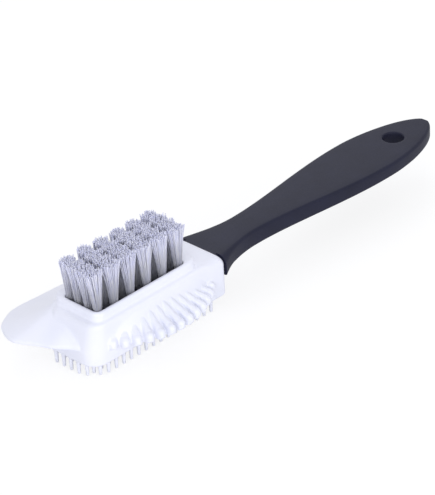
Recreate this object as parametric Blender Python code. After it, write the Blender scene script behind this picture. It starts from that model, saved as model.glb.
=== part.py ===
"""Four-way shoe brush, lying with its bristles up and its handle along +X.

One plastic moulding is both the handle and the block that holds the bristles. A soft
rubber boot is stretched over the block. Its collar leaves the bristles free, its near
side carries a fan of short ribs, its far side and front run out into a thin wing for
seams, and its sole is set with small pins. Each of the 24 nylon tufts is folded round
a flat wire anchor, which holds it down in its own blind hole in the block.

Lengths are in metres. While a piece is modelled, x = 0, y = 0 is the middle of the
collar's opening and z = 0 is the plane of the pin tips.
"""

import math
import random

import bmesh
import bpy
from mathutils import Vector

for leftover in list(bpy.data.objects):
    bpy.data.objects.remove(leftover)

mm = 0.001

# Fits
clearance = 0.3 * mm
overrun = 1.5 * mm

# Heights, each stacked on the one before it
pin_length = 6.8 * mm
sole_height = 5.5 * mm
sole_thickness = 6.1 * mm
block_height = 10.5 * mm
roof_thickness = 1.7 * mm
collar_height = 3.2 * mm
bristle_height = 17.3 * mm

sole_z = pin_length
flange_z = sole_z + sole_height
block_z = sole_z + sole_thickness + clearance
block_top = block_z + block_height
deck_z = block_top + clearance + roof_thickness
rim_z = deck_z + collar_height
bristle_top = rim_z + bristle_height

# Tufts and the wire anchors in them
tuft_columns = 6
tuft_rows = 4
tuft_end_setback = 2.15 * mm
tuft_side_setback = 1.98 * mm
tuft_radius = 1.45 * mm
tuft_sides = 8
tuft_stand = 0.5 * mm
tuft_hole_depth = 8.5 * mm
strand_radius = 0.22 * mm
strand_tip_radius = 0.3 * mm
strand_sides = 3
strand_ring_counts = (1, 5, 8)
strand_ring_shares = (0.0, 0.4, 0.77)
strand_wander = 0.12
tuft_splay = 1.6
end_lean = 0.4 * mm
side_lean = 1.05 * mm
strand_height_spread = 0.45 * mm
anchor_length = 4.4 * mm
anchor_height = 1.8 * mm
anchor_thickness = 0.35 * mm
anchor_lift = 1.3 * mm

# Block inside the boot
tuft_wall = 1.9 * mm
block_front_wall = 1.95 * mm
block_corner = 4.2 * mm
block_edge = 0.8 * mm

# Boot: opening, collar and body
opening_length = 48.5 * mm
opening_width = 19.4 * mm
opening_corner = 2.0 * mm
collar_width = 2.6 * mm
collar_fillet = 0.8 * mm
body_front = 31.3 * mm
body_back = 43.2 * mm
body_width = 26.8 * mm
body_front_corner = 7.5 * mm
body_far_corner = 2.5 * mm
body_back_corner = 2.2 * mm
body_edge = 0.9 * mm
body_edge_share = 0.3
deck_back = 39.6 * mm
back_slope = 0.5 * mm
back_wall = 2.6 * mm
corner_steps = 5

# Boot: wing, web and ribs
flange_edge = 1.5 * mm
flange_round = 0.35 * mm
flare_power = 2.2
front_flare_power = 1.25
wing_front = 44.0 * mm
wing_reach = 37.0 * mm
wing_back = 34.0 * mm
fan_setback = 17.9 * mm
rib_count = 13
rib_step = math.radians(6.8)
rib_reach = 44.0 * mm
rib_root = 29.0 * mm
rib_width = 3.3 * mm
rib_height = 4.4 * mm
rib_root_rise = 2.1 * mm
rib_drop = 0.4 * mm
web_setback = 4.8 * mm

# Boot: one rib from root to tip, as (station, width, fall of the crest, lift of the foot) shares
rib_shares = (
    (0.0, 0.66, 0.0, 0.0),
    (0.55, 0.86, 0.32, 0.0),
    (0.89, 1.0, 0.8, 0.0),
    (0.945, 0.88, 1.0, 0.3),
    (0.98, 0.62, 1.32, 1.2),
    (1.0, 0.28, 1.75, 2.6),
)

# Boot: the wing's outline from the near wall round to the far one, as shares of its front
# reach or back reach and of its side reach
wing_front_shares = (
    (-0.602, -0.23),
    (-0.75, -0.046),
    (-0.841, 0.108),
    (-0.886, 0.243),
    (-0.955, 0.4),
    (-0.998, 0.53),
    (-0.982, 0.665),
    (-0.916, 0.822),
    (-0.832, 0.905),
    (-0.693, 0.981),
    (-0.555, 0.999),
    (-0.34, 0.985),
    (-0.045, 0.96),
)
wing_back_shares = (
    (0.24, 0.9),
    (0.53, 0.77),
    (0.79, 0.57),
    (0.97, 0.35),
    (0.8, 0.1),
    (-0.1, -0.2),
)
flare_climbs = (0.08, 0.2, 0.35, 0.52, 0.7, 0.86)

# Boot: the collar's outside as (climb, offset) shares, and its lip as (drop, offset) ones
collar_shares = ((0.16, 1.02), (0.5, 0.97), (0.76, 0.9), (0.93, 0.72), (1.0, 0.5))
lip_shares = ((0.2, 0.0), (0.06, 0.04), (-0.1, 0.35))

# Boot: pins under the sole, whose grid fills it a setback in from its edges
pin_columns = 17
pin_rows = 6
pin_inset = 1.5 * mm
pin_side_setback = 2.8 * mm
pin_end_setback = 7.2 * mm
pin_corner = 10.0 * mm
pin_root_radius = 0.9 * mm
pin_tip_radius = 0.62 * mm
pin_sides = 6

# Boot: how the walls close in, as (climb, sides, back, front) shares
wall_shares = (
    (0.35, 0.1, 0.0, 0.3),
    (0.74, 0.35, 0.06, 0.66),
    (0.88, 0.62, 0.24, 0.85),
    (0.97, 0.9, 0.62, 0.97),
)

# Handle
handle_end = 185.5 * mm
neck_width = 15.6 * mm
palm_width = 30.4 * mm
neck_thickness = 7.6 * mm
palm_thickness = 6.1 * mm
neck_place = 67.5 * mm
palm_place = 144.0 * mm
shoulder_width = 27.4 * mm
shoulder_length = 1.0 * mm
handle_round = 1.5 * mm
handle_round_share = 0.875
tip_power = 1.8
swell_power = 0.92
flare_curve = 2.0
hole_place = 163.0 * mm
hole_diameter = 9.4 * mm
hole_round = 0.8 * mm
hole_sides = 20


def make_material(name, colour, roughness, metallic=0.0):
    """A Principled material with one linear RGB colour."""
    material = bpy.data.materials.new(name)
    material.use_nodes = True
    shader = material.node_tree.nodes["Principled BSDF"]
    shader.inputs["Base Color"].default_value = (*colour, 1.0)
    shader.inputs["Roughness"].default_value = roughness
    shader.inputs["Metallic"].default_value = metallic
    return material


def add_piece(name, bm, material=None, smooth_angle=math.radians(40)):
    """Turns a bmesh into an object with outward faces, smooth across shallow edges."""
    bmesh.ops.recalc_face_normals(bm, faces=bm.faces)
    mesh = bpy.data.meshes.new(name)
    bm.to_mesh(mesh)
    bm.free()
    mesh.shade_smooth()
    mesh.set_sharp_from_angle(angle=smooth_angle)
    piece = bpy.data.objects.new(name, mesh)
    bpy.context.scene.collection.objects.link(piece)
    if material:
        mesh.materials.append(material)
    return piece


def loft(bm, rings):
    """Skins a stack of equal closed rings and caps both ends."""
    rows = [[bm.verts.new(point) for point in ring] for ring in rings]
    count = len(rows[0])
    for low, high in zip(rows, rows[1:]):
        for i in range(count):
            j = (i + 1) % count
            bm.faces.new((low[i], low[j], high[j], high[i]))
    bm.faces.new(reversed(rows[0]))
    bm.faces.new(rows[-1])


def apply_tool(piece, tool, operation):
    """Adds a Boolean of a helper solid, which itself is only a guide."""
    tool.hide_render = True
    tool.display_type = "WIRE"
    modifier = piece.modifiers.new(tool.name, "BOOLEAN")
    modifier.operation = operation
    modifier.solver = "EXACT"
    modifier.object = tool


def arc(center, radius, start, end, steps):
    """Points (x, y) on an arc, both ends included."""
    angles = [start + (end - start) * i / steps for i in range(steps + 1)]
    return [(center[0] + radius * math.cos(a), center[1] + radius * math.sin(a)) for a in angles]


def rounded_outline(front, back, half_width, radii):
    """A rectangle in plan, anticlockwise from its far back corner, with four corner radii."""
    quarter = math.pi / 2
    corners = ((back, half_width), (front, half_width), (front, -half_width), (back, -half_width))
    points = []
    for turn, ((x, y), radius) in enumerate(zip(corners, radii)):
        center = (x - math.copysign(radius, x), y - math.copysign(radius, y))
        points += arc(center, radius, turn * quarter, (turn + 1) * quarter, corner_steps)
    return points


def at_height(outline, z):
    return [Vector((x, y, z)) for x, y in outline]


def smooth_closed(points, spans):
    """A closed Catmull-Rom curve through the given points."""
    count = len(points)
    curve = []
    for i in range(count):
        a, b, c, d = (Vector(points[(i + k - 1) % count]) for k in range(4))
        for step in range(spans):
            t = step / spans
            lean = (c - a) * t + (2 * a - 5 * b + 4 * c - d) * t**2
            curve.append(tuple(b + (lean + (3 * b - 3 * c + d - a) * t**3) / 2))
    return curve


def box(bm, low, high):
    made = bmesh.ops.create_cube(bm, size=1.0)["verts"]
    middle = (low + high) / 2
    size = high - low
    for vert in made:
        vert.co = middle + Vector(size[i] * vert.co[i] for i in range(3))


# The tufts fill the boot's opening, a setback in from its edge
field_half_length = opening_length / 2 - tuft_end_setback
field_half_width = opening_width / 2 - tuft_side_setback
column_pitch = 2 * field_half_length / (tuft_columns - 1)
row_pitch = 2 * field_half_width / (tuft_rows - 1)
tuft_places = [
    (
        (column - (tuft_columns - 1) / 2) * column_pitch,
        (row - (tuft_rows - 1) / 2) * row_pitch,
        column + 1,
        row + 1,
    )
    for column in range(tuft_columns)
    for row in range(tuft_rows)
]
tuft_hole_radius = tuft_radius + clearance
plug_bottom = block_top - tuft_hole_depth + clearance
anchor_bottom = plug_bottom + anchor_lift

# The block's sides clear the outermost tuft holes by a wall
block_half_width = field_half_width + tuft_hole_radius + tuft_wall
block_front = -(field_half_length + tuft_hole_radius + block_front_wall)
block_back = body_back - back_wall - clearance - block_edge


def make_handle():
    """One loft along x: the bristle block, the shoulder behind the boot, neck and palm."""
    neck_low = block_top - neck_thickness
    shoulder_low_x = body_back + clearance
    shoulder_back_x = shoulder_low_x + shoulder_length

    def section(x, half_width, low, high, radius, lean=0.0):
        """A rounded slab section. lean tips the section's top towards the bristles."""
        corners = []
        for side, level, turn in ((1, high, 0), (-1, high, 1), (-1, low, 2), (1, low, 3)):
            y = side * (half_width - radius)
            z = level + (radius if level == low else -radius)
            start = turn * math.pi / 2
            corners += arc((y, z), radius, start, start + math.pi / 2, 2)
        return [Vector((x - lean * (z - low) / (high - low), y, z)) for y, z in corners]

    def half_width_at(x):
        if x < neck_place:
            share = (neck_place - x) / (neck_place - shoulder_back_x)
            return neck_width / 2 + (shoulder_width - neck_width) / 2 * share**flare_curve
        if x < palm_place:
            share = ((x - neck_place) / (palm_place - neck_place)) ** swell_power
            swell = 3 * share**2 - 2 * share**3
            return neck_width / 2 + (palm_width - neck_width) / 2 * swell
        share = (x - palm_place) / (handle_end - palm_place)
        return palm_width / 2 * max(1 - share**tip_power, 0) ** (1 / tip_power)

    rings = []
    # The block, with its front corners rounded in plan
    for i in range(5):
        angle = math.pi / 2 * i / 4
        x = block_front + block_corner * (1 - math.sin(angle))
        half_width = block_half_width - block_corner * (1 - math.cos(angle))
        rings.insert(0, section(x, half_width, block_z, block_top, block_edge))
    rings.append(
        section(block_back, block_half_width, block_z, block_top, block_edge)
    )
    # The neck leaves the block over the boot's back wall, and its shoulder stands behind it
    for x, half_width, lean in (
        (block_back + block_edge, block_half_width, 0.0),
        (shoulder_low_x, block_half_width, back_slope),
        (shoulder_low_x + clearance, shoulder_width / 2, back_slope),
    ):
        rings.append(section(x, half_width, neck_low, block_top, block_edge, lean))
    # Neck and palm: stations close up towards the tip, where the outline turns in
    neck_steps = 7
    palm_steps = 9
    tip_steps = 9
    stations = [
        shoulder_back_x + (neck_place - shoulder_back_x) * i / neck_steps
        for i in range(neck_steps + 1)
    ]
    stations += [
        neck_place + (palm_place - neck_place) * i / palm_steps for i in range(1, palm_steps + 1)
    ]
    stations += [
        palm_place + (handle_end - palm_place) * math.sin(math.pi / 2 * i / tip_steps)
        for i in range(1, tip_steps)
    ]
    stations.append(handle_end - handle_round * (1 - math.cos(math.pi / 4)))
    for x in stations:
        share = min(max((x - neck_place) / (palm_place - neck_place), 0), 1)
        thickness = neck_thickness + (palm_thickness - neck_thickness) * share
        inset = max(handle_round - (handle_end - x), 0)
        drop = handle_round - math.sqrt(handle_round**2 - inset**2)
        half_width = half_width_at(x)
        rings.append(
            section(
                x,
                half_width,
                block_top - thickness + drop,
                block_top - drop,
                min(handle_round, half_width / 2, thickness / 2 - drop) * handle_round_share,
            )
        )
    bm = bmesh.new()
    loft(bm, rings)
    handle = add_piece("handle", bm, handle_plastic)

    # Hanging hole with rounded edges, as a waisted plug
    plug = bmesh.new()
    bore = hole_diameter / 2
    low = block_top - palm_thickness
    levels = [(bore + hole_round + overrun, low - overrun)]
    for level, turn in ((low, 1), (block_top, -1)):
        curve = [
            (bore + hole_round * (1 - math.cos(a)), level + turn * hole_round * (1 - math.sin(a)))
            for a in (math.pi / 2, math.pi / 4, 0)
        ]
        levels += curve if turn > 0 else curve[::-1]
    levels.append((bore + hole_round + overrun, block_top + overrun))
    loft(
        plug,
        [
            at_height(arc((hole_place, 0), r, 0, math.tau * (1 - 1 / hole_sides), hole_sides - 1), z)
            for r, z in levels
        ],
    )
    apply_tool(handle, add_piece("hanging_hole", plug), "DIFFERENCE")

    # Blind tuft holes, and the grooves that the anchors bite down their walls
    holes = bmesh.new()
    grooves = bmesh.new()
    for x, y, _, _ in tuft_places:
        ring = tuft_ring(x, y, tuft_hole_radius)
        loft(holes, [at_height(ring, block_top - tuft_hole_depth), at_height(ring, block_top + overrun)])
        reach = anchor_length / 2 + clearance
        half = anchor_thickness / 2 + clearance
        box(
            grooves,
            Vector((x - reach, y - half, anchor_bottom - clearance)),
            Vector((x + reach, y + half, block_top + overrun)),
        )
    apply_tool(handle, add_piece("tuft_holes", holes), "DIFFERENCE")
    apply_tool(handle, add_piece("anchor_grooves", grooves), "DIFFERENCE")
    return handle


def tuft_ring(x, y, radius):
    """The tuft's and its hole's eight-sided outline, with flats on x and y."""
    turn = math.pi / tuft_sides
    return arc((x, y), radius, turn, turn + math.tau * (1 - 1 / tuft_sides), tuft_sides - 1)


def make_flare(name, outline):
    """A skirt that rises in a hollow sweep from a thin edge to the foot of the collar."""
    corner = opening_corner + collar_width
    core_front = -opening_length / 2 + opening_corner
    core_back = deck_back - collar_width - corner
    core_half = opening_width / 2 - opening_corner
    edge_top = flange_z + flange_edge

    def wall_point(x, y):
        """The point of the collar's outline, with its rounded corners, that is nearest."""
        core = Vector((min(max(x, core_front), core_back), min(max(y, -core_half), core_half)))
        away = Vector((x, y)) - core
        return core + away.normalized() * min(away.length, corner)

    def ring(climb, z, inset=0.0):
        """The outline drawn in to the wall as it climbs, more evenly at the front."""
        points = []
        for x, y in outline:
            way = wall_point(x, y) - Vector((x, y))
            ahead = max(way.x, 0) / max(way.length, inset, clearance)
            power = flare_power + (front_flare_power - flare_power) * ahead
            step = way * (1 - (1 - climb) ** power)
            if way.length > inset:
                step += way.normalized() * inset
            points.append(Vector((x + step.x, y + step.y, z)))
        return points

    rings = [
        ring(0, flange_z, flange_round),
        ring(0, flange_z + flange_round),
        ring(0, edge_top - flange_round),
        ring(0, edge_top, flange_round),
    ]
    for climb in flare_climbs:
        rings.append(ring(climb, edge_top + (deck_z - edge_top) * climb))
    bm = bmesh.new()
    loft(bm, rings)
    return add_piece(name, bm)


def make_boot():
    """The rubber boot: body and collar, wing, web, ribs and pins, less the block's room."""
    front, back, half = -body_front, body_back, body_width / 2

    def body_ring(z, inset=0.0, back_inset=0.0, front_inset=0.0, front_share=0.0):
        back_corner = body_back_corner + back_inset
        far_corner = body_far_corner + (body_front_corner - body_far_corner) * front_share
        outline = rounded_outline(
            front + inset + front_inset,
            back - inset - back_inset,
            half - inset,
            (back_corner, far_corner, body_front_corner, back_corner),
        )
        return at_height(outline, z)

    def collar_ring(z, offset, corner_offset=0.0):
        corner = opening_corner + offset + corner_offset
        reach = opening_length / 2 + offset
        outline = rounded_outline(-reach, reach, opening_width / 2 + offset, [corner] * 4)
        return at_height(outline, z)

    collar_foot = collar_width + collar_fillet
    foot_reach = opening_length / 2 + collar_foot
    deck_inset = half - (opening_width / 2 + collar_foot)
    mouth_low = block_top - neck_thickness
    front_lean = body_front - foot_reach - deck_inset
    deck_slope = back - deck_back - deck_inset
    rings = [
        body_ring(sole_z, body_edge),
        body_ring(sole_z + body_edge * body_edge_share, body_edge * body_edge_share),
        body_ring(sole_z + body_edge),
        body_ring(flange_z),
    ]
    # Up to the deck the front leans back, the sides close in and the back rounds over
    for climb, side_share, back_share, front_share in wall_shares:
        rings.append(
            body_ring(
                flange_z + (deck_z - flange_z) * climb,
                deck_inset * side_share,
                deck_slope * back_share,
                front_lean * front_share,
                front_share,
            )
        )
    rings.append(collar_ring(deck_z, collar_foot, body_front_corner - opening_corner - collar_foot))
    for climb, offset in collar_shares:
        rings.append(collar_ring(deck_z + collar_height * climb, collar_width * offset))
    bm = bmesh.new()
    loft(bm, rings)
    boot = add_piece("rubber_boot", bm, boot_rubber)

    # The wing: a broad lobe ahead of and beyond the far wall, closed inside the body
    outline = [(x * wing_front, y * wing_reach) for x, y in wing_front_shares]
    outline += [(x * wing_back, y * wing_reach) for x, y in wing_back_shares]
    wing = make_flare("wing", smooth_closed(outline, 3))
    apply_tool(boot, wing, "UNION")

    # The ribs spread about one centre, beyond the far wall from them
    fan_x = (front + back) / 2
    fan_half = rib_step * (rib_count - 1) / 2
    down = -math.pi / 2
    web = arc((fan_x, fan_setback), rib_reach - web_setback, down - fan_half, down + fan_half, 11)
    inner = opening_width / 4
    web += [(web[-1][0], -inner), (web[0][0], -inner)]
    apply_tool(boot, make_flare("rib_web", web), "UNION")

    teeth = bmesh.new()
    low = flange_z - rib_drop
    for i in range(rib_count):
        angle = rib_step * i - fan_half
        out = Vector((math.sin(angle), -math.cos(angle), 0))
        across = Vector((math.cos(angle), math.sin(angle), 0))
        rings = []
        for station, width, fall, foot in rib_shares:
            radius = rib_root + (rib_reach - rib_root) * station
            broad = rib_width / 2 * width
            top = low + rib_height + rib_root_rise * (1 - fall)
            bottom = low + rib_drop * foot
            crown = min(broad, (top - bottom) / 2)
            arch = arc((0, top - crown), crown, 0, math.pi, 4)
            profile = [(broad, bottom)] + [(y * broad / crown, z) for y, z in arch] + [(-broad, bottom)]
            middle = Vector((fan_x, fan_setback, 0)) + out * radius
            rings.append([middle + across * y + Vector((0, 0, z)) for y, z in profile])
        loft(teeth, rings)

    # Pins in a plain grid under the sole. Those by the rounded near front corner draw in
    # towards a middle of their own, and the one that would stand on the corner is left out
    turns = math.tau * (1 - 1 / pin_sides)
    grid_front = front + pin_inset
    grid_half = half - pin_side_setback
    column_step = (back - pin_end_setback - grid_front) / (pin_columns - 1)
    row_step = 2 * grid_half / (pin_rows - 1)
    for column in range(pin_columns):
        for row in range(pin_rows):
            if column == row == 0:
                continue
            spot = Vector((grid_front + column * column_step, row * row_step - grid_half))
            away = spot - Vector((grid_front + pin_corner, pin_corner - grid_half))
            if away.x < 0 and away.y < 0 and away.length > pin_corner:
                spot += away.normalized() * (pin_corner - away.length)
            foot = arc(spot, pin_root_radius, 0, turns, pin_sides - 1)
            tip = arc(spot, pin_tip_radius, 0, turns, pin_sides - 1)
            loft(teeth, [at_height(tip, 0), at_height(foot, sole_z + overrun)])
    apply_tool(boot, add_piece("ribs_and_pins", teeth), "UNION")

    # The opening, whose lip rolls out to the collar's crest
    opening = bmesh.new()
    rings = [collar_ring(block_top - overrun, 0.0)]
    for drop, offset in lip_shares:
        rings.append(collar_ring(rim_z - collar_width * drop, collar_width * offset))
    loft(opening, rings)
    apply_tool(boot, add_piece("opening", opening), "DIFFERENCE")

    # Room for the block, and the way out for the neck above the boot's back wall
    room = bmesh.new()
    outline = rounded_outline(
        block_front - clearance,
        block_back + block_edge + clearance,
        block_half_width + clearance,
        (clearance, block_corner + clearance, block_corner + clearance, clearance),
    )
    loft(room, [at_height(outline, block_z - clearance), at_height(outline, block_top + clearance)])
    apply_tool(boot, add_piece("block_room", room), "DIFFERENCE")
    way_out = bmesh.new()
    gap = block_half_width + clearance
    box(
        way_out,
        Vector((block_back - overrun, -gap, mouth_low - clearance)),
        Vector((back + overrun, gap, block_top + clearance)),
    )
    apply_tool(boot, add_piece("neck_mouth", way_out), "DIFFERENCE")
    return boot


def make_anchor(x, y, name):
    """A short length of flat wire on edge, across the tuft's fold."""
    bm = bmesh.new()
    reach, half = anchor_length / 2, anchor_thickness / 2
    box(
        bm,
        Vector((x - reach, y - half, anchor_bottom)),
        Vector((x + reach, y + half, anchor_bottom + anchor_height)),
    )
    return add_piece(name, bm, anchor_wire)


def make_tuft(x, y, name, anchor_slots):
    """A plug in the block with strands that spread a little as they rise."""
    bm = bmesh.new()
    ring = tuft_ring(x, y, tuft_radius)
    plug_top = block_top + tuft_stand
    loft(bm, [at_height(ring, plug_bottom), at_height(ring, plug_top)])
    tuft = add_piece(name, bm, bristle_nylon)

    chance = random.Random(name)
    lean = Vector((end_lean * x / field_half_length, side_lean * y / field_half_width, 0))
    strands = bmesh.new()
    for count, share in zip(strand_ring_counts, strand_ring_shares):
        for i in range(count):
            wander = chance.uniform(-strand_wander, strand_wander)
            angle = math.tau * (i + wander) / count + share
            offset = Vector((math.cos(angle), math.sin(angle), 0)) * tuft_radius * share
            foot = Vector((x, y, 0)) + offset
            tip = Vector((x, y, 0)) + offset * tuft_splay + lean
            height = bristle_top - strand_height_spread * chance.random()
            turn = chance.uniform(0, math.tau)
            ends = []
            for middle, radius, z in (
                (foot, strand_radius, plug_top - tuft_stand),
                (tip, strand_tip_radius, height),
            ):
                turns = math.tau * (1 - 1 / strand_sides)
                circle = arc(middle.xy, radius, turn, turn + turns, strand_sides - 1)
                ends.append(at_height(circle, z))
            loft(strands, ends)
    apply_tool(tuft, add_piece(name + "_strands", strands), "UNION")
    apply_tool(tuft, anchor_slots, "DIFFERENCE")
    return tuft


def make_tufts():
    slots = bmesh.new()
    for x, y, _, _ in tuft_places:
        reach = tuft_radius + overrun / 2
        half = anchor_thickness / 2 + clearance
        box(
            slots,
            Vector((x - reach, y - half, anchor_bottom - clearance)),
            Vector((x + reach, y + half, anchor_bottom + anchor_height + clearance)),
        )
    anchor_slots = add_piece("anchor_slots", slots)
    pieces = []
    for x, y, column, row in tuft_places:
        pieces.append(make_tuft(x, y, f"tuft_{column}_{row}", anchor_slots))
        pieces.append(make_anchor(x, y, f"tuft_anchor_{column}_{row}"))
    return pieces


handle_plastic = make_material("handle_polypropylene", (0.052, 0.054, 0.078), 0.42)
boot_rubber = make_material("boot_rubber", (0.86, 0.87, 0.92), 0.5)
bristle_nylon = make_material("bristle_nylon", (0.47, 0.47, 0.6), 0.45)
anchor_wire = make_material("anchor_wire", (0.6, 0.58, 0.55), 0.3, 1.0)

pieces = [make_handle(), make_boot(), *make_tufts()]

# The finished brush stands on its pin tips, centred in plan on the origin
bpy.context.view_layer.update()
graph = bpy.context.evaluated_depsgraph_get()
corners = [Vector(c) for piece in pieces for c in piece.evaluated_get(graph).bound_box]
origin = bpy.data.objects.new("brush_origin", None)
bpy.context.scene.collection.objects.link(origin)
for item in list(bpy.context.scene.objects):
    if item.type == "MESH":
        item.parent = origin
for axis in range(2):
    spread = [corner[axis] for corner in corners]
    origin.location[axis] = -(min(spread) + max(spread)) / 2
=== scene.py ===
# %% [markdown]
# # A shoe brush with a rubber boot
#
# The brush has a hard plastic handle that runs on into a block under the bristles. A soft
# white rubber boot is pulled over the block. This script dresses a measured model of the
# brush: it builds fine, rounded versions of the same pieces and gives each its material.
# The measured model is loaded first, because every piece has to sit where it says.

# %% Load the measured model
import math
import random

import bmesh
import bpy
from mathutils import Matrix, Vector


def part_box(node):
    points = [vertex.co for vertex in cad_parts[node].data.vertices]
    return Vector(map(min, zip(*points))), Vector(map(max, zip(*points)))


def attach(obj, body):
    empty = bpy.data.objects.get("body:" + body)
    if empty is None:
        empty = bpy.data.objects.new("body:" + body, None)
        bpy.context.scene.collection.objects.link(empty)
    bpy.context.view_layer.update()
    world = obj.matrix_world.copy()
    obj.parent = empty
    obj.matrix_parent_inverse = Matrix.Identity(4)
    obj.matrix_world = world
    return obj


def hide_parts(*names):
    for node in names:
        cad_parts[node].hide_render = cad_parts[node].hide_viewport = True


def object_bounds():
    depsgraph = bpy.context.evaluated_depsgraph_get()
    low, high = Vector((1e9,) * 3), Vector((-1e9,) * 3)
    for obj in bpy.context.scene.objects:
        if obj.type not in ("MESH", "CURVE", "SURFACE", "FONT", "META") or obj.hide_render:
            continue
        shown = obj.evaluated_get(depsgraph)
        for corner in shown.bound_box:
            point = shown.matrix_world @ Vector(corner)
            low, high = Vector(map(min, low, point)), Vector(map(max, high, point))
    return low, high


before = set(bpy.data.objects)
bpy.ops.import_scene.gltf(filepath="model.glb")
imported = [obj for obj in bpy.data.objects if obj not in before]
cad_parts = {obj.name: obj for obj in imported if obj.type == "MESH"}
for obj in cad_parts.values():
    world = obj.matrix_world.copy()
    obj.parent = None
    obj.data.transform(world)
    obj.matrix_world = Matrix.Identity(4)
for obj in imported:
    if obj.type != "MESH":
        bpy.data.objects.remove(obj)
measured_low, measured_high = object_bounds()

print("measured size in mm:", [round(1000 * v, 1) for v in measured_high - measured_low])

# %% [markdown]
# ## One origin for everything
#
# Moulds are drawn in millimetres from a datum. Here the datum is the middle of the bristle
# field on the plane of the pin tips, so the numbers below are the ones a mould drawing has.
# The wire anchors stand exactly in the field's grid, so the middle of their boxes is the
# datum in plan.

# %% Find the datum
anchor_names = sorted(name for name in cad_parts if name.startswith("tuft_anchor_"))
anchor_lows, anchor_highs = zip(*[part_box(name) for name in anchor_names])
datum = Vector(
    [(min(p[i] for p in anchor_lows) + max(p[i] for p in anchor_highs)) / 2 for i in range(3)]
)
datum.z = measured_low.z
millimetres = Matrix.Translation(datum) @ Matrix.Scale(0.001, 4)
print("datum in mm:", [round(1000 * v, 2) for v in datum])

# %% [markdown]
# ## Colours
#
# A paint or plastic sample is read off as an sRGB hex value. The renderer works with linear
# light, so one function turns every hex value into linear red, green and blue.

# %% Turn a hex colour to linear light
def linear(hex_colour):
    values = [int(hex_colour[i : i + 2], 16) / 255 for i in (1, 3, 5)]
    curve = [v / 12.92 if v <= 0.04045 else ((v + 0.055) / 1.055) ** 2.4 for v in values]
    return (*curve, 1.0)


print("white paper is", linear("#ffffff"), "and mid grey is", linear("#808080")[0])

# %% [markdown]
# ## The camera
#
# The photograph was taken from in front of the head, a little to its ribbed side and from
# above, with a long lens, so that parallel edges stay almost parallel. Its height and
# heading were found by fitting the outlines of the collar, the pins and the handle. The
# camera is also rolled by a few degrees. It aims at a spot beside the collar, at the height
# of the rim, and all of its distances are in millimetres.

# %% Set up the camera
heading, height, roll = (math.radians(v) for v in (-44.228, 30.598, -3.456))
focal_length = 174.55
distance, shift_right, shift_up, aim_height = 947.78, 36.67, 12.19, 28.9
away = Vector(
    (math.sin(heading) * math.cos(height), -math.cos(heading) * math.cos(height), math.sin(height))
)
level_right = Vector((math.cos(heading), math.sin(heading), 0))
level_up = away.cross(level_right)
camera_right = math.cos(roll) * level_right + math.sin(roll) * level_up
camera_up = math.cos(roll) * level_up - math.sin(roll) * level_right
camera_data = bpy.data.cameras.new("product_camera")
camera_data.sensor_width = 36.0
camera_data.lens = focal_length
camera_data.clip_start, camera_data.clip_end = 0.05, 20.0
camera = bpy.data.objects.new("product_camera", camera_data)
camera_spot = distance * away + shift_right * camera_right + shift_up * camera_up
camera_spot.z += aim_height
turn = Matrix((camera_right, camera_up, away)).transposed().to_4x4()
camera.matrix_world = Matrix.Translation(millimetres @ camera_spot) @ turn
bpy.context.scene.collection.objects.link(camera)
bpy.context.scene.camera = camera
print("the camera stands", round((camera.location - datum).length, 3), "m from the datum")

# %% [markdown]
# ## Adding nodes
#
# A material is a small network of nodes. This one function adds a node, sets its values and
# makes its links, so that each material below reads as a list of what it is made of.

# %% Add a node to a material
def node(tree, kind, settings=None, **inputs):
    """settings go on the node. inputs are values, or (node, output) pairs to link."""
    made = tree.nodes.new(kind)
    for name, value in (settings or {}).items():
        setattr(made, name, value)
    for name, value in inputs.items():
        label = name.replace("_", " ")
        socket = made.inputs[int(label[6:])] if label.startswith("input ") else made.inputs[label]
        if isinstance(value, tuple) and isinstance(value[0], bpy.types.Node):
            tree.links.new(value[0].outputs[value[1]], socket)
        else:
            socket.default_value = value
    return made


def new_material(name):
    """An empty material, with its output node."""
    material = bpy.data.materials.new(name)
    material.use_nodes = True
    tree = material.node_tree
    tree.nodes.clear()
    return material, tree, tree.nodes.new("ShaderNodeOutputMaterial")


print("nodes can be added")

# %% [markdown]
# ## The studio
#
# A product shot on white is taken in a light tent, so most of the light comes evenly from
# all round. Two large soft lamps stand low in front and to the left, so that upright walls
# come out a little brighter than level faces, and a weaker one behind lifts the far side.
# The floor is white card. To the camera it shows as white with a light shadow, and to the
# brush it is a real card that throws light back up under the boot. What mirrors the room or
# lets it through sees it as the camera does.

# %% Tell what is seen from what gives light
def seen_rays(tree):
    """1 for a ray that looks, straight or by way of gloss or glass, and 0 for light."""
    path = tree.nodes.new("ShaderNodeLightPath")
    either = {"operation": "MAXIMUM"}
    straight, gloss = (path, "Is Camera Ray"), (path, "Is Glossy Ray")
    seen = node(tree, "ShaderNodeMath", either, input_0=straight, input_1=gloss)
    glass = (path, "Is Transmission Ray")
    return node(tree, "ShaderNodeMath", either, input_0=(seen, 0), input_1=glass)


print("rays that look and rays of light can be told apart")

# %% Light the room
world = bpy.data.worlds.new("white_room")
bpy.context.scene.world = world
world.use_nodes = True
tree = world.node_tree
tree.nodes.clear()
seen = seen_rays(tree)
room = node(tree, "ShaderNodeBackground", Color=linear("#f7f8fe"), Strength=0.7)
white = node(tree, "ShaderNodeBackground", Color=(1, 1, 1, 1), Strength=1.0)
both = node(tree, "ShaderNodeMixShader", input_0=(seen, 0), input_1=(room, 0), input_2=(white, 0))
node(tree, "ShaderNodeOutputWorld", Surface=(both, 0))


def soft_lamp(name, direction, watts, colour="#f8f9ff", size=0.6, distance=0.95):
    """A square lamp that faces the head from a direction, in metres and watts."""
    data = bpy.data.lights.new(name, "AREA")
    data.size, data.energy, data.color = size, watts, linear(colour)[:3]
    lamp = bpy.data.objects.new(name, data)
    lamp.location = datum + Vector(direction).normalized() * distance
    lamp.rotation_euler = (datum - lamp.location).to_track_quat("-Z", "Y").to_euler()
    bpy.context.scene.collection.objects.link(lamp)


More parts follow.
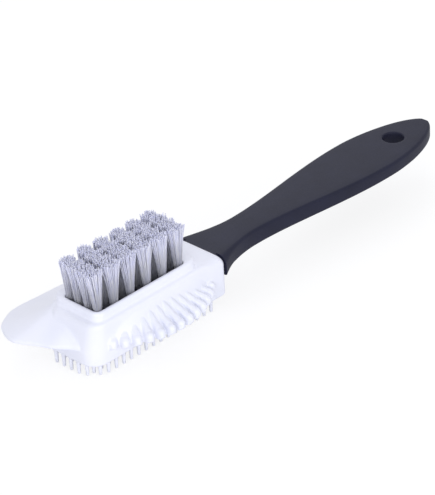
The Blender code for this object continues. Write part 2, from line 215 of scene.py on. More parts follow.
soft_lamp("left_lamp", (-0.75, -0.62, 0.35), 2.9)
soft_lamp("front_lamp", (-0.1, -1.0, 0.35), 1.8)
soft_lamp("back_lamp", (0.5, 0.6, 0.8), 1.4)
print("the room is lit")

# %% Lay the floor
card, tree, out = new_material("white_card")
seen = seen_rays(tree)
real = node(tree, "ShaderNodeBsdfDiffuse", Color=linear("#ececee"))
shown = node(tree, "ShaderNodeBsdfDiffuse", Color=linear("#8a8a8a"))
glow = node(tree, "ShaderNodeEmission", Color=(1, 1, 1, 1), Strength=0.8)
bright = node(tree, "ShaderNodeAddShader", input_0=(shown, 0), input_1=(glow, 0))
both = node(tree, "ShaderNodeMixShader", input_0=(seen, 0), input_1=(real, 0), input_2=(bright, 0))
tree.links.new(both.outputs[0], out.inputs["Surface"])
floor_mesh = bpy.data.meshes.new("floor")
reach, just_under = 3.0, 0.0002
floor_corners = [(-reach, -reach, 0), (reach, -reach, 0), (reach, reach, 0), (-reach, reach, 0)]
floor_mesh.from_pydata(floor_corners, [], [(0, 1, 2, 3)])
floor_mesh.materials.append(card)
floor = bpy.data.objects.new("floor", floor_mesh)
floor.location.z = measured_low.z - just_under
bpy.context.scene.collection.objects.link(floor)
print("the floor lies just under the pins")

# %% [markdown]
# ## White rubber
#
# The boot is a thermoplastic rubber, moulded in one shot and pulled off a polished core. The
# eye sees a cool white with a soft, broad sheen and no grain, so the colour hardly varies.
# Two things keep it from looking like paint: a slow drift in the colour where the rubber is
# thicker, and a faint unevenness of the skin, about half a millimetre from bump to bump.

# %% Make the white rubber
def speckle(tree, size_mm, detail=2.0, stretch=(1, 1, 1)):
    """Noise whose features are about size_mm across, the same from every side."""
    place = node(tree, "ShaderNodeTexCoord")
    scaled = node(tree, "ShaderNodeMapping", Vector=(place, "Object"), Scale=stretch)
    return node(tree, "ShaderNodeTexNoise", Vector=(scaled, 0), Scale=1000 / size_mm, Detail=detail)


def blend(tree, factor, first, second, low=0.3, high=0.7):
    """A colour that goes from first to second as factor goes from low to high."""
    ramp = node(tree, "ShaderNodeValToRGB", Fac=(factor, 0))
    ends = ramp.color_ramp.elements
    ends[0].position, ends[0].color = low, linear(first)
    ends[1].position, ends[1].color = high, linear(second)
    return ramp


def uneven(tree, factor, low, high):
    """A number that goes from low to high with factor, for a roughness."""
    return node(tree, "ShaderNodeMapRange", Value=(factor, 0), To_Min=low, To_Max=high)


def finish_surface(tree, out, colour, roughness, bump, depth_mm, **fixed):
    """The shader of a surface, with its fine relief."""
    relief = node(tree, "ShaderNodeBump", Height=(bump, 0), Strength=1.0, Distance=depth_mm / 1000)
    shader = node(
        tree,
        "ShaderNodeBsdfPrincipled",
        Base_Color=(colour, 0),
        Roughness=(roughness, 0),
        Normal=(relief, 0),
        **fixed,
    )
    tree.links.new(shader.outputs[0], out.inputs["Surface"])


white_rubber, tree, out = new_material("moulded_white_rubber")
drift = blend(tree, speckle(tree, 22.0), "#eef0fa", "#f3f4fc")
skin = speckle(tree, 0.6)
finish_surface(tree, out, drift, uneven(tree, skin, 0.42, 0.5), skin, 0.012, IOR=1.5)
print("made", white_rubber.name)

# %% [markdown]
# ## Dark plastic
#
# The handle is polypropylene, moulded in a cavity that was spark eroded, so its skin has a
# fine, even, matt grain. The grain of the real skin is near 0.1 mm, too fine to show at this
# distance, so it is drawn at 0.5 mm. The colour is a blue-grey that is nearly black.

# %% Make the dark plastic
dark_plastic, tree, out = new_material("spark_grained_polypropylene")
cloud = blend(tree, speckle(tree, 9.0, 3.0), "#16182c", "#1c1e33")
grain = speckle(tree, 0.5, 1.0)
matt = uneven(tree, grain, 0.5, 0.62)
finish_surface(tree, out, cloud, matt, grain, 0.03, IOR=1.49, Specular_IOR_Level=0.25)
print("made", dark_plastic.name)

# %% [markdown]
# ## Nylon filament and steel wire
#
# The bristles are drawn nylon, a little translucent, in a pale lavender grey. Each filament
# takes its own shade from the way it was drawn and cut, which the eye reads as streaks along
# the tuft. The streaks are noise stretched along the filaments, so it is long in Z. The colour
# is painted darker towards the roots, as painted shade for the crowded filaments there. The
# anchors are bright flat steel wire, with drawing lines along its length.

# %% Make the nylon and the wire
nylon, tree, out = new_material("drawn_nylon_filament")
streak = speckle(tree, 0.45, 1.0, (1, 1, 0.02))
drawn = blend(tree, streak, "#e8eafc", "#fafaff", 0.35, 0.65)
stand = node(tree, "ShaderNodeSeparateXYZ", Vector=(node(tree, "ShaderNodeTexCoord"), "Object"))
# Painted shade: the nylon's colour is scaled from half at 27 mm up to full at 41 mm, darker towards
# the roots.
painted_shade_low, painted_shade_high = 27.0, 41.0
painted_root_shade = node(
    tree,
    "ShaderNodeMapRange",
    Value=(stand, "Z"),
    From_Min=(millimetres @ Vector((0, 0, painted_shade_low))).z,
    From_Max=(millimetres @ Vector((0, 0, painted_shade_high))).z,
    To_Min=0.5,
    To_Max=1.0,
)
scale = {"operation": "SCALE"}
shade = node(tree, "ShaderNodeVectorMath", scale, input_0=(drawn, 0), Scale=(painted_root_shade, 0))
finish_surface(tree, out, shade, uneven(tree, streak, 0.35, 0.5), streak, 0.002, IOR=1.53)
solid_look = out.inputs["Surface"].links[0].from_node
glow_through = node(tree, "ShaderNodeBsdfTranslucent", Color=(shade, 0))
translucent = 0.28
mixed = node(
    tree,
    "ShaderNodeMixShader",
    input_0=translucent,
    input_1=(solid_look, 0),
    input_2=(glow_through, 0),
)
tree.links.new(mixed.outputs[0], out.inputs["Surface"])

wire, tree, out = new_material("drawn_steel_wire")
lines = speckle(tree, 0.2, 1.0, (0.05, 1, 1))
tone = blend(tree, lines, "#b9b7b4", "#d5d3d0")
finish_surface(tree, out, tone, uneven(tree, lines, 0.25, 0.4), lines, 0.002, Metallic=1.0)
print("made", nylon.name, "and", wire.name)

# %% [markdown]
# ## Shapes from rings
#
# Almost everything here is a stack of closed rings with a skin over them, which is how a
# mould maker thinks of a wall with a draft. These helpers make the rings and the skin. All
# of them work in millimetres from the datum.

# %% Skin a stack of rings
def arc(middle, radius, start, end, steps):
    """Points (x, y) along an arc, with both ends."""
    angles = [start + (end - start) * i / steps for i in range(steps + 1)]
    return [(middle[0] + radius * math.cos(a), middle[1] + radius * math.sin(a)) for a in angles]


def level(outline, z):
    """The outline as a ring at one height."""
    return [(x, y, z) for x, y in outline]


def skin_rings(bm, rings):
    """Joins equal rings with quads and closes both ends."""
    rows = [[bm.verts.new(point) for point in ring] for ring in rings]
    count = len(rows[0])
    for low, high in zip(rows, rows[1:]):
        for i in range(count):
            j = (i + 1) % count
            bm.faces.new((low[i], low[j], high[j], high[i]))
    bm.faces.new(reversed(rows[0]))
    bm.faces.new(rows[-1])


def solid(name, bm):
    """A helper object, still in millimetres, with its faces outward."""
    bmesh.ops.recalc_face_normals(bm, faces=bm.faces)
    mesh = bpy.data.meshes.new(name)
    bm.to_mesh(mesh)
    bm.free()
    made = bpy.data.objects.new(name, mesh)
    bpy.context.scene.collection.objects.link(made)
    return made


print("helpers for rings are ready")

# %% [markdown]
# ## Cutting and joining
#
# A cut or a union is a Boolean. Its result is taken at once as a plain mesh and the tool is
# thrown away, so that no modifier is left waiting on a finished piece.

# %% Cut, join and place pieces
def settle(piece):
    """Replaces a piece's mesh by what its modifiers make of it."""
    graph = bpy.context.evaluated_depsgraph_get()
    fresh = bpy.data.meshes.new_from_object(piece.evaluated_get(graph))
    piece.modifiers.clear()
    old, piece.data = piece.data, fresh
    bpy.data.meshes.remove(old)


def combine(piece, tool, operation):
    """Cuts the tool off the piece or joins it on, and throws the tool away."""
    modifier = piece.modifiers.new("shape", "BOOLEAN")
    modifier.operation, modifier.solver, modifier.object = operation, "MANIFOLD", tool
    settle(piece)
    bpy.data.objects.remove(tool)


def place(piece, material, slot, nodes, sharp_degrees=38):
    """Moves a finished piece to its place in the model and lets it stand for its nodes."""
    mesh = piece.data
    mesh.transform(millimetres)
    mesh.materials.clear()
    mesh.materials.append(material)
    mesh.shade_smooth()
    mesh.set_sharp_from_angle(angle=math.radians(sharp_degrees))
    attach(piece, "root")
    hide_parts(*nodes)
    print(piece.name, "has", len(mesh.polygons), "faces")


print("pieces can be cut and placed")

# %% [markdown]
# ## The boot's body and collar
#
# The boot is closest to a shoe box with a raised rim. The walls stand almost upright, the
# front leans back, and every wall rounds over into a shoulder round the collar. Towards the
# back that shoulder grows into a rounded deck. The collar stands on the shoulder and rolls
# over into the opening. It is narrow in front and on the near side, and spreads by a few
# millimetres at the back and on the far side. The numbers are heights above the pin tips
# and distances out from the opening, as they would be on the mould drawing.

# %% Set the boot's main sizes
body_front, body_back, body_half = -31.3, 43.2, 13.4
near_corner, far_corner, back_corner = 7.0, 2.5, 2.2
opening_half_length, opening_half_width, opening_corner = 24.25, 9.7, 2.0
sole, flange, deck, rim = 6.3, 12.3, 25.0, 28.9
foot = 2.5
print("the body is", body_back - body_front, "by", 2 * body_half, "mm")

# %% Round a rectangle and ease a change
def rounded(front, back, half, radii, steps=12, spans=12):
    """A rectangle in plan, anticlockwise from its far back corner, with its corner radii."""
    quarter = math.pi / 2
    corners = ((back, half), (front, half), (front, -half), (back, -half))
    arcs = []
    for turn, ((x, y), radius) in enumerate(zip(corners, radii)):
        centre = (x - math.copysign(radius, x), y - math.copysign(radius, y))
        arcs.append(arc(centre, radius, turn * quarter, (turn + 1) * quarter, steps))
    points = []
    for now, after in zip(arcs, arcs[1:] + arcs[:1]):
        begin, finish = Vector(now[-1]), Vector(after[0])
        points += now + [tuple(begin.lerp(finish, k / spans)) for k in range(1, spans)]
    return points


def ease(value):
    """Goes from 0 to 1 with a soft start and a soft end."""
    value = min(max(value, 0), 1)
    return value * value * (3 - 2 * value)


def turned(drop, radius):
    """How far a rounded edge has drawn in at this drop below its top."""
    return radius - math.sqrt(radius**2 - max(radius - drop, 0) ** 2)


print("1 mm below its top, a 2 mm edge has drawn in by", round(turned(1.0, 2.0), 2), "mm")

# %% Draw the walls
side_lean, side_turn = 0.1, 1.1
front_recess, front_hollow, front_turn, front_blend = 2.0, 1.25, 2.6, 4
back_turn, back_side_turn, back_fall = 4.2, 4.6, 0.3
back_begin, back_blend = 5, 10
near_corner_loss = 1.5


def wall_ring(z, inset=0.0):
    """The wall's outline at a height: it leans in, and rounds over into the shoulder."""
    climb = max(z - flange, 0) / (deck - flange)
    drop = deck - z
    over = turned(drop, back_turn)
    front = front_recess * (1 - (1 - climb) ** front_hollow)
    outline = rounded(
        body_front + inset,
        body_back - inset - over,
        body_half - inset - side_lean * climb**2,
        (
            back_corner + over,
            far_corner + (foot + opening_corner - far_corner) * climb,
            near_corner - near_corner_loss * climb,
            back_corner + over,
        ),
    )
    ring = []
    for x, y in outline:
        if x < 0:
            ahead = ease((-x - opening_half_length + 1) / front_blend)
            x += (front + turned(drop, front_turn)) * ahead
        behind = ease((x - opening_half_length - back_begin) / back_blend)
        edge = side_turn + (back_side_turn - side_turn) * behind
        y *= 1 - turned(drop, edge) / body_half
        ring.append((x, y, z - back_fall * behind * climb**2))
    return ring


sole_edge = 0.9
rings = [
    wall_ring(sole + sole_edge * (1 - math.sin(a)), sole_edge * (1 - math.cos(a)))
    for a in (math.pi / 2 * (1 - i / 4) for i in range(5))
]
wall_steps, crowding = 32, 1.6
for i in range(wall_steps + 1):
    rings.append(wall_ring(deck - (deck - flange) * (1 - i / wall_steps) ** crowding))
print("the walls have", len(rings), "rings")

# %% Draw the collar and close the body
corner_growth = (1.9, 1.6, 1.0, 1.9)
spread_from, spread_blend = 0.2, 1.2
back_spread, back_from, back_ease = 4.4, 12, 13
far_spread, far_ease = 3.4, 9
groove_depth, groove_top, groove_height = 0.35, 25.6, 0.6
groove_from, groove_ease = 22, 3


def collar_ring(z, offset):
    """The collar's outline at a height, at a distance out from the opening."""
    reach = opening_half_length + offset
    radii = [opening_corner + offset * growth for growth in corner_growth]
    spread = ease((offset - spread_from) / spread_blend)
    ring = []
    for x, y in rounded(-reach, reach, opening_half_width + offset, radii):
        x += back_spread * spread * ease((x - back_from) / back_ease)
        y += far_spread * spread * ease(y / far_ease)
        groove = groove_depth * ease((x - groove_from) / groove_ease)
        ring.append((x, y, z - groove * max(groove_top - z, 0) / groove_height))
    return ring


collar_profile = [
    (25.0, 2.5), (25.06, 2.3), (25.25, 2.1), (25.6, 1.98), (26.2, 1.95), (26.9, 2.0),
    (27.5, 1.97), (28.0, 1.8), (28.4, 1.5), (28.68, 1.15), (28.84, 0.8), (28.9, 0.62),
    (28.9, 0.5), (28.85, 0.3), (28.7, 0.12), (28.45, 0.02), (28.2, 0.0), (23.4, 0.0),
]
rings += [collar_ring(z, offset) for z, offset in collar_profile]
boot_mesh = bmesh.new()
skin_rings(boot_mesh, rings)
print("the body has", len(rings), "rings")

# %% [markdown]
# ## The wing
#
# A thin, broad lobe of rubber runs out from the front and the far side, to brush along a
# welt. Its top sweeps down in a hollow curve from the foot of the collar to an edge 1.5 mm
# thick. It is built like a skirt: each ring is the outline of the edge, drawn in towards the
# collar by a growing share of the way while it climbs.

# %% Draw a smooth closed curve
def smooth_closed(points, spans):
    """A closed smooth curve through the points (Catmull-Rom)."""
    count = len(points)
    curve = []
    for i in range(count):
        a, b, c, d = (Vector(points[(i + k - 1) % count]) for k in range(4))
        for step in range(spans):
            t = step / spans
            bend = (c - a) * t + (2 * a - 5 * b + 4 * c - d) * t**2
            curve.append(tuple(b + (bend + (3 * b - 3 * c + d - a) * t**3) / 2))
    return curve


print("a closed curve can be drawn through points")

# %% Sweep a thin edge up to the collar
edge_thickness, edge_round = 1.5, 0.35
front_power, sweep_top = 1.3, 0.96
skirt_back, skirt_steps, skirt_crowding = 37.0, 22, 1.3


def skirt(bm, outline, sweep_power, far_extra=0.0):
    """A thin edge along the outline that sweeps up to the foot of the collar."""
    corner = opening_corner + foot
    core_front, core_back = opening_corner - opening_half_length, skirt_back - corner
    core_half = opening_half_width - opening_corner

    def drawn_in(climb, z, inset=0.0):
        points = []
        for x, y in outline:
            spot = Vector((x, y))
            core_x = min(max(x, core_front), core_back)
            core = Vector((core_x, min(max(y, -core_half), core_half + far_extra)))
            away = spot - core
            way = core + away.normalized() * min(away.length, corner) - spot
            ahead = max(way.x, 0) / max(way.length, 1)
            step = way * (1 - (1 - climb) ** (sweep_power + (front_power - sweep_power) * ahead))
            if way.length > inset:
                step += way.normalized() * inset
            points.append((x + step.x, y + step.y, z))
        return points

    edge_top = flange + edge_thickness
    turns = [math.pi / 2 * i / 3 for i in range(4)]
    rings = [
        drawn_in(0, flange + edge_round * (1 - math.sin(a)), edge_round * (1 - math.cos(a)))
        for a in reversed(turns)
    ]
    rings += [
        drawn_in(0, edge_top - edge_round * (1 - math.sin(a)), edge_round * (1 - math.cos(a)))
        for a in turns
    ]
    for i in range(1, skirt_steps + 1):
        climb = sweep_top * (i / skirt_steps) ** skirt_crowding
        rings.append(drawn_in(climb, edge_top + (deck - edge_top) * climb))
    skin_rings(bm, rings)


print("a skirt rises from", flange + edge_thickness, "mm to the foot of the collar")

# %% Shape the wing
wing_outline = [
    (-27.0, -11.3), (-30.8, -6.2), (-33.2, -1.5), (-37.0, 4.0), (-39.0, 9.0),
    (-42.0, 14.8), (-43.9, 19.6), (-43.2, 24.6), (-40.3, 30.4), (-36.6, 33.5),
    (-30.5, 36.3), (-24.4, 36.97), (-15.0, 36.37), (-2.0, 35.5), (8.2, 33.3),
    (18.0, 28.5), (26.9, 21.1), (33.0, 13.0), (27.2, 3.7), (-3.4, -7.4),
]
wing_sweep = 1.7
skirt(boot_mesh, smooth_closed(wing_outline, 8), wing_sweep, far_spread)
wing_past = max(y for x, y in wing_outline) - body_half
print("the wing reaches", round(wing_past, 1), "mm past the wall")

# %% [markdown]
# ## The fan of ribs
#
# On the near side thirteen round-ended ribs spread like fingers about one centre. A thin web
# joins their roots. Each rib is a stack of arched sections along its length, and its end
# closes as half an ellipsoid, because that is what rubber fingers look like off the mould.

# %% Shape the ribs
fan_centre = Vector(((body_front + body_back) / 2 + 0.15, 17.9))
rib_step = math.radians(6.8)
rib_count = 13
fan_half = rib_step * (rib_count - 1) / 2
rib_reach, rib_root, rib_end = 44.0, 29.0, 2.6
rib_width, rib_root_width = 3.2, 2.3
knob_width, knob_height, knob_from = 0.45, 0.4, 2.2
rib_low, crest_root, crest_end, crest_power = 11.9, 22.6, 16.3, 1.2
heart_share = 0.46
web_reach, web_root, web_sweep = 40.8, -4.8, 1.4
down = -math.pi / 2
web = arc(fan_centre, web_reach, down - fan_half, down + fan_half, 48)
web += [(web[-1][0], web_root), (web[0][0], web_root)]
skirt(boot_mesh, web, web_sweep)
for i in range(rib_count):
    angle = rib_step * i - fan_half
    out_way = Vector((math.sin(angle), -math.cos(angle), 0))
    across = Vector((math.cos(angle), math.sin(angle), 0))
    rings = []
    stations = [rib_root + (rib_reach - rib_end - rib_root) * k / 12 for k in range(13)]
    stations += [rib_reach - rib_end + rib_end * math.sin(math.pi / 2 * k / 9) for k in range(1, 9)]
    for radius in stations:
        share = (radius - rib_root) / (rib_reach - rib_end - rib_root)
        knob = ease((radius - rib_reach + knob_from * rib_end) / rib_end)
        width = rib_root_width + (rib_width - rib_root_width) * min(share, 1) + knob_width * knob
        fall = (crest_end - crest_root) * min(share, 1) ** crest_power
        top = crest_root + fall + knob_height * knob
        turn_over = max(radius - (rib_reach - rib_end), 0) / rib_end
        squeeze = math.sqrt(1 - turn_over**2)
        heart = rib_low + (top - rib_low) * heart_share
        top = heart + (top - heart) * squeeze
        low = heart - (heart - rib_low) * squeeze
        half = width / 2 * squeeze
        arch = min(half, (top - low) / 2)
        profile = [(half, low)]
        profile += [(y * half / arch, z) for y, z in arc((0, top - arch), arch, 0, math.pi, 12)]
        profile.append((-half, low))
        middle = Vector((*fan_centre, 0)) + out_way * radius
        rings.append([middle + across * y + Vector((0, 0, z)) for y, z in profile])
    skin_rings(boot_mesh, rings)
print("the fan has", rib_count, "ribs over", round(math.degrees(2 * fan_half), 1), "degrees")

# %% [markdown]
# ## One skin
#
# Rubber comes off the mould as one piece with small fillets wherever two forms meet. Taking
# the overlapping forms through a voxel remesh gives that single skin, and a few rounds of
# smoothing open up the fillets. Only the ribs, the thin edges and the sole stay crisp: the
# upper part of the boot is softened further, like the roll of the collar in the photograph.

# %% Join the boot into one skin
boot = solid("boot_skin", boot_mesh)
remesh = boot.modifiers.new("one_skin", "REMESH")
remesh.mode = "VOXEL"
remesh.voxel_size = 0.25
fillets = boot.modifiers.new("fillets", "SMOOTH")
fillets.factor, fillets.iterations = 0.5, 5
settle(boot)
front_soft_from, near_soft_from, back_soft_from, soft_blend = 14.5, -15.5, 22, 2
soft = boot.vertex_groups.new(name="soft")
for vertex in boot.data.vertices:
    x, y, z = vertex.co
    if x < 0:
        weight = ease((z - front_soft_from) / soft_blend) * ease((y - near_soft_from) / soft_blend)
    else:
        weight = ease((z - back_soft_from) / soft_blend)
    if weight > 0:
        soft.add([vertex.index], weight, "REPLACE")
softened = boot.modifiers.new("soft_forms", "SMOOTH")
softened.factor, softened.iterations, softened.vertex_group = 0.5, 24, "soft"
settle(boot)
print("the boot is one skin with", len(boot.data.polygons), "faces")

# %% [markdown]
# ## The room in the boot
#
# The block is the front end of the handle, and the boot fits round it with a small gap. So
# the block's sections are drawn here, cut from the boot a little larger, and used again for
# the handle. Behind the block the handle passes out through the boot's back wall, and above
# it the collar opens for the bristles.

# %% Draw sections of the handle and its block
block_front, block_back, block_half = -25.98, 39.5, 11.41
block_low, block_top, neck_low = 13.2, 23.7, 16.1
block_corner, block_edge, back_edge = 4.2, 0.8, 3.7
taper_from, block_step, gap = 26.0, 0.8, 0.3


def slab(x, half, low, high, radius, low_radius=None, lean=0.0, rise=0.0):
    """One section across the handle, anticlockwise seen from its end."""
    low_radius = low_radius or radius
    points = []
    for side, top, quarter in ((1, True, 0), (-1, True, 1), (-1, False, 2), (1, False, 3)):
        bend = radius if top else low_radius
        centre = (side * (half - bend), high - bend if top else low + bend)
        start = quarter * math.pi / 2
        points += arc(centre, bend, start, start + math.pi / 2, 6)
        if top and side > 0:
            flat = half - radius
            points += [(flat * (1 - k / 4), high) for k in range(1, 8)]
    section = []
    for y, z in points:
        lift = rise * (1 - (y / half) ** 2) * (z - low) / (high - low)
        section.append((x - lean * (z - low) / (high - low), y, z - rise + lift))
    return section


def block_rings(grow=0.0):
    """The block in the boot, as sections from front to back, grown all round."""
    low, high, edge = block_low - grow, block_top + grow, block_edge + grow
    rings = []
    for i in range(9):
        angle = math.pi / 2 * (1 - i / 8)
        x = block_front - grow + block_corner * (1 - math.sin(angle))
        half = block_half + grow - block_corner * (1 - math.cos(angle))
        rings.append(slab(x, half, low, high, edge))
    for i in range(9):
        x = taper_from + (block_back + grow - taper_from) * i / 8
        top_edge = edge + (back_edge - block_edge) * ease(i / 6)
        rings.append(slab(x, block_half + grow, low, high, top_edge, edge))
    step_x = block_back + block_step + grow
    rings.append(slab(step_x, block_half + grow, neck_low - grow, high, back_edge + grow, edge))
    return rings


print("the block is", round(block_back - block_front, 2), "mm long")

# %% Cut the room, the passage and the opening
room = bmesh.new()
passage_low, passage_high = neck_low - gap, block_top + gap
passage_edges = (back_edge + gap, block_edge + gap)
passage = slab(body_back + 2, block_half + gap, passage_low, passage_high, *passage_edges)
skin_rings(room, block_rings(gap) + [passage])
combine(boot, solid("room", room), "DIFFERENCE")
well = bmesh.new()
well_low, well_high = block_top - 0.5, rim - 1.2
well_outline = rounded(
    -opening_half_length, opening_half_length, opening_half_width, [opening_corner] * 4
)
skin_rings(well, [level(well_outline, well_low), level(well_outline, well_high)])
combine(boot, solid("well", well), "DIFFERENCE")
print("with its room the boot's skin has", len(boot.data.polygons), "faces")

# %% [markdown]
# ## The pins
#
# Under the sole stand rows of short pins with blunt round tips, which rub suede clean. They
# taper, so that they come out of the mould, and the ones by the near front corner are drawn
# in because the sole is rounded there.

# %% Set the pins in the sole
pins = bmesh.new()
pin_columns, pin_rows = 17, 6
grid_front, grid_back, grid_half = body_front + 1.5, body_back - 7.2, body_half - 2.8
column_pitch = (grid_back - grid_front) / (pin_columns - 1)
row_pitch = 2 * grid_half / (pin_rows - 1)
pin_bend = 10.0
pin_tip, pin_root = 0.68, 0.93
pin_profile = [
    (0.28, 0.02), (0.5, 0.12), (pin_tip, 0.4), (0.81, 3.5),
    (pin_root, sole - 0.5), (pin_root + 0.5, sole + 0.2), (pin_root + 0.6, sole + 0.8),
]
pin_sides = 12
pin_turn = math.tau * (pin_sides - 1) / pin_sides
pin_count = 0
for column in range(pin_columns):
    for row in range(pin_rows):
        if column == row == 0:
            continue
        spot = Vector((grid_front + column * column_pitch, row * row_pitch - grid_half))
        off = spot - Vector((grid_front + pin_bend, pin_bend - grid_half))
        if off.x < 0 and off.y < 0 and off.length > pin_bend:
            spot += off.normalized() * (pin_bend - off.length)
        rounds = [arc(spot, r, 0, pin_turn, pin_sides - 1) for r, z in pin_profile]
        skin_rings(pins, [level(ring, z) for ring, (r, z) in zip(rounds, pin_profile)])
        pin_count += 1
combine(boot, solid("pins", pins), "UNION")
place(boot, white_rubber, "boot_rubber", ["rubber_boot"], 50)
print("the sole has", pin_count, "pins")

# %% [markdown]
# ## The handle
#
# The handle is one long loft, and it starts with the block inside the boot. Its section is
# a flat slab with rounded edges and a top that is crowned by a third of a millimetre.
# Behind the boot the slab is as wide as the boot and a little deeper, like a gusset. Then
# it draws in to the neck, swells to the palm and closes in a round end.

# %% Shape the handle
shoulder_x, shoulder_half = body_back + gap, 13.7
neck_x, palm_x, end_x = 67.5, 144.0, 185.34
neck_half, palm_half = 7.8, 15.2
neck_thick, palm_thick = 7.6, 6.1
edge_radius, edge_share = 1.5, 0.9
crown, crown_rise, crown_fall = 0.3, 12, 20
gusset, gusset_length = 1.5, 8.0
back_edge_length = 16
shoulder_lean, lean_length = 0.5, 2
swell_power, end_power = 0.92, 1.8


def half_width(x):
    """Half the handle's width at a place along it."""
    if x < neck_x:
        share = (neck_x - x) / (neck_x - shoulder_x)
        return neck_half + (shoulder_half - neck_half) * share**2
    if x < palm_x:
        share = ((x - neck_x) / (palm_x - neck_x)) ** swell_power
        return neck_half + (palm_half - neck_half) * (3 * share**2 - 2 * share**3)
    share = (x - palm_x) / (end_x - palm_x)
    return palm_half * max(1 - share**end_power, 0) ** (1 / end_power)


rings = block_rings()
rings.append(
    slab(shoulder_x, block_half, neck_low, block_top, back_edge, block_edge, shoulder_lean)
)
stations = [shoulder_x + 0.05 + (neck_x - shoulder_x) * i / 20 for i in range(21)]
stations += [neck_x + (palm_x - neck_x) * i / 30 for i in range(1, 31)]
stations += [palm_x + (end_x - palm_x) * math.sin(math.pi / 2 * i / 30) for i in range(1, 28)]
stations += [end_x - edge_radius * (1 - math.sin(a)) for a in (0.5, 0.75, 0.95)]
stations = sorted(s for s in stations if s < end_x - 0.25)
for x in stations:
    share = min(max((x - neck_x) / (palm_x - neck_x), 0), 1)
    thick = neck_thick + (palm_thick - neck_thick) * share
    thick += gusset * max(1 - (x - shoulder_x) / gusset_length, 0) ** 2
    inset = max(edge_radius - (end_x - x), 0)
    drop = edge_radius - math.sqrt(edge_radius**2 - inset**2)
    half = half_width(x)
    behind_boot, before_end = x - shoulder_x, end_x - x
    rise = crown * min(max(behind_boot / crown_rise, 0), 1)
    rise *= min(max(before_end / crown_fall, 0), 1)
    radius = min(edge_radius, half / 2, thick / 2 - drop) * edge_share
    still_back = max(1 - behind_boot / back_edge_length, 0) ** 2
    top_radius = radius + (back_edge - radius) * still_back
    lean = shoulder_lean * max(1 - behind_boot / lean_length, 0)
    low = block_top - thick + drop
    rings.append(slab(x, half, low, block_top - drop, top_radius, radius, lean, rise))
handle_mesh = bmesh.new()
skin_rings(handle_mesh, rings)
handle = solid("handle_skin", handle_mesh)
print("the handle is", round(end_x - block_front, 1), "mm long with its block")

# %% Cut the hanging hole and the tuft holes
hole_x, bore, hole_round, overrun = 163.0, 4.7, 0.8, 1.5
low = block_top - palm_thick
profile = [(bore + hole_round + overrun, low - overrun)]
turns = [math.pi / 2 * (1 - i / 6) for i in range(7)]
bends = [(hole_round * (1 - math.cos(a)), hole_round * (1 - math.sin(a))) for a in turns]
profile += [(bore + out, low + up) for out, up in bends]
profile += [(bore + out, block_top - up) for out, up in reversed(bends)]
profile.append((bore + hole_round + overrun, block_top + overrun))
plug = bmesh.new()
hole_sides = 48
full_turn = math.tau * (1 - 1 / hole_sides)
skin_rings(plug, [level(arc((hole_x, 0), r, 0, full_turn, hole_sides - 1), z) for r, z in profile])
combine(handle, solid("hanging_hole", plug), "DIFFERENCE")
tuft_columns, tuft_rows = 6, 4
tuft_pitch_x, tuft_pitch_y = 8.84, 5.147
tuft_spots = {
    (column + 1, row + 1): ((column - 2.5) * tuft_pitch_x, (row - 1.5) * tuft_pitch_y)
    for column in range(tuft_columns)
    for row in range(tuft_rows)
}
tuft_hole, tuft_hole_depth = 1.75, 8.5
holes = bmesh.new()
for spot in tuft_spots.values():
    ring = arc(spot, tuft_hole, 0, math.tau * 15 / 16, 15)
    low = block_top - tuft_hole_depth
    skin_rings(holes, [level(ring, low), level(ring, block_top + overrun)])
combine(handle, solid("tuft_holes", holes), "DIFFERENCE")
place(handle, dark_plastic, "handle_polypropylene", ["handle"])
print("cut", len(tuft_spots), "tuft holes and one to hang it by")

# %% [markdown]
# ## The tufts
#
# A tufting machine folds a bundle of filaments round a wire anchor and rams it into its
# hole, so the filaments leave the hole tightly packed and then spread. Each tuft here is a
# bundle of separate filaments, laid out like the seeds of a sunflower so that they fill the
# hole evenly. They fan out most near their tips, so that the tufts nearly close up at the
# top and leave dark gaps below. The far row fans out less along the brush, so its tufts
# stand apart. All are cut level, but never quite.

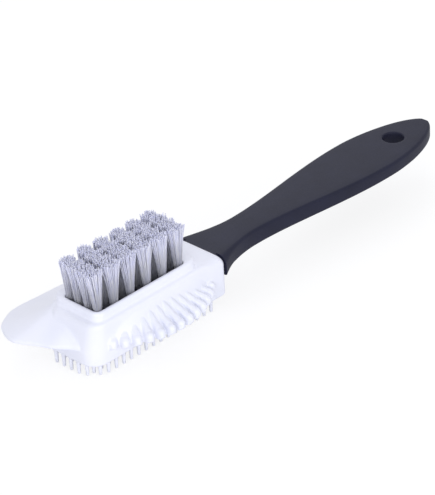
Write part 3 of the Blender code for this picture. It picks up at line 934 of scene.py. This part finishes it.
# %% Grow the tufts
filaments = 190
filament_radius, tip_radius = 0.12, 0.2
bundle_radius, golden_angle, sunk = 1.36, 2.39996, 3.0
spread_along, spread_across, fan_power = 3.0, 2.05, 1.8
far_row_spread = 2.35
end_lean, row_lean, far_lean = 0.55, 0.45, -0.1
stray_along, stray_across, bow_size = 0.42, 0.28, 0.1
cut_height, ragged, stray_share, stray_rise, tallest = 45.15, 0.36, 0.07, 0.75, 46.15
for (column, row), (x, y) in tuft_spots.items():
    chance = random.Random(100 * column + row)
    side = y / (1.5 * tuft_pitch_y)
    lean = Vector((row_lean * side - end_lean * (column == 1), far_lean * side))
    along = far_row_spread if row == tuft_rows else spread_along
    tuft = bmesh.new()
    for i in range(filaments):
        angle = golden_angle * i
        outward = Vector((math.cos(angle), math.sin(angle)))
        offset = outward * bundle_radius * math.sqrt((i + 0.5) / filaments)
        stray = Vector((chance.gauss(0, stray_along), chance.gauss(0, stray_across)))
        top = cut_height + chance.gauss(0, ragged)
        if chance.random() < stray_share:
            top += stray_rise
        top = min(top, tallest)
        root = Vector((x, y)) + offset
        tip = Vector((x + offset.x * along, y + offset.y * spread_across)) + lean + stray
        bow = Vector((chance.gauss(0, bow_size), chance.gauss(0, bow_size)))
        turn = chance.uniform(0, math.tau)
        rings = []
        steps = 6
        for k in range(steps + 1):
            share = k / steps
            centre = root + (tip - root) * share**fan_power + bow * math.sin(math.pi * share)
            radius = filament_radius + (tip_radius - filament_radius) * share
            z = block_top - sunk + (top - block_top + sunk) * share
            rings.append(level(arc(centre, radius, turn, turn + math.tau * 4 / 5, 4), z))
        skin_rings(tuft, rings)
    node_name = f"tuft_{column}_{row}"
    place(solid(f"bristles_{column}_{row}", tuft), nylon, "bristle_nylon", [node_name], 60)
print("grew", filaments * len(tuft_spots), "filaments")

# %% [markdown]
# ## The anchors
#
# The anchors are buried in the block. Their measured solids have the right shape already,
# so they stay and only get their metal.

# %% Give the anchors their metal
for name in anchor_names:
    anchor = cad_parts[name]
    anchor.data.materials.clear()
    anchor.data.materials.append(wire)
print("gave", len(anchor_names), "anchors their metal")

# %% [markdown]
# ## View settings
#
# Last come the view settings. Standard shows colours as they are written.

# %% Finish
bpy.context.scene.view_settings.view_transform = "Standard"
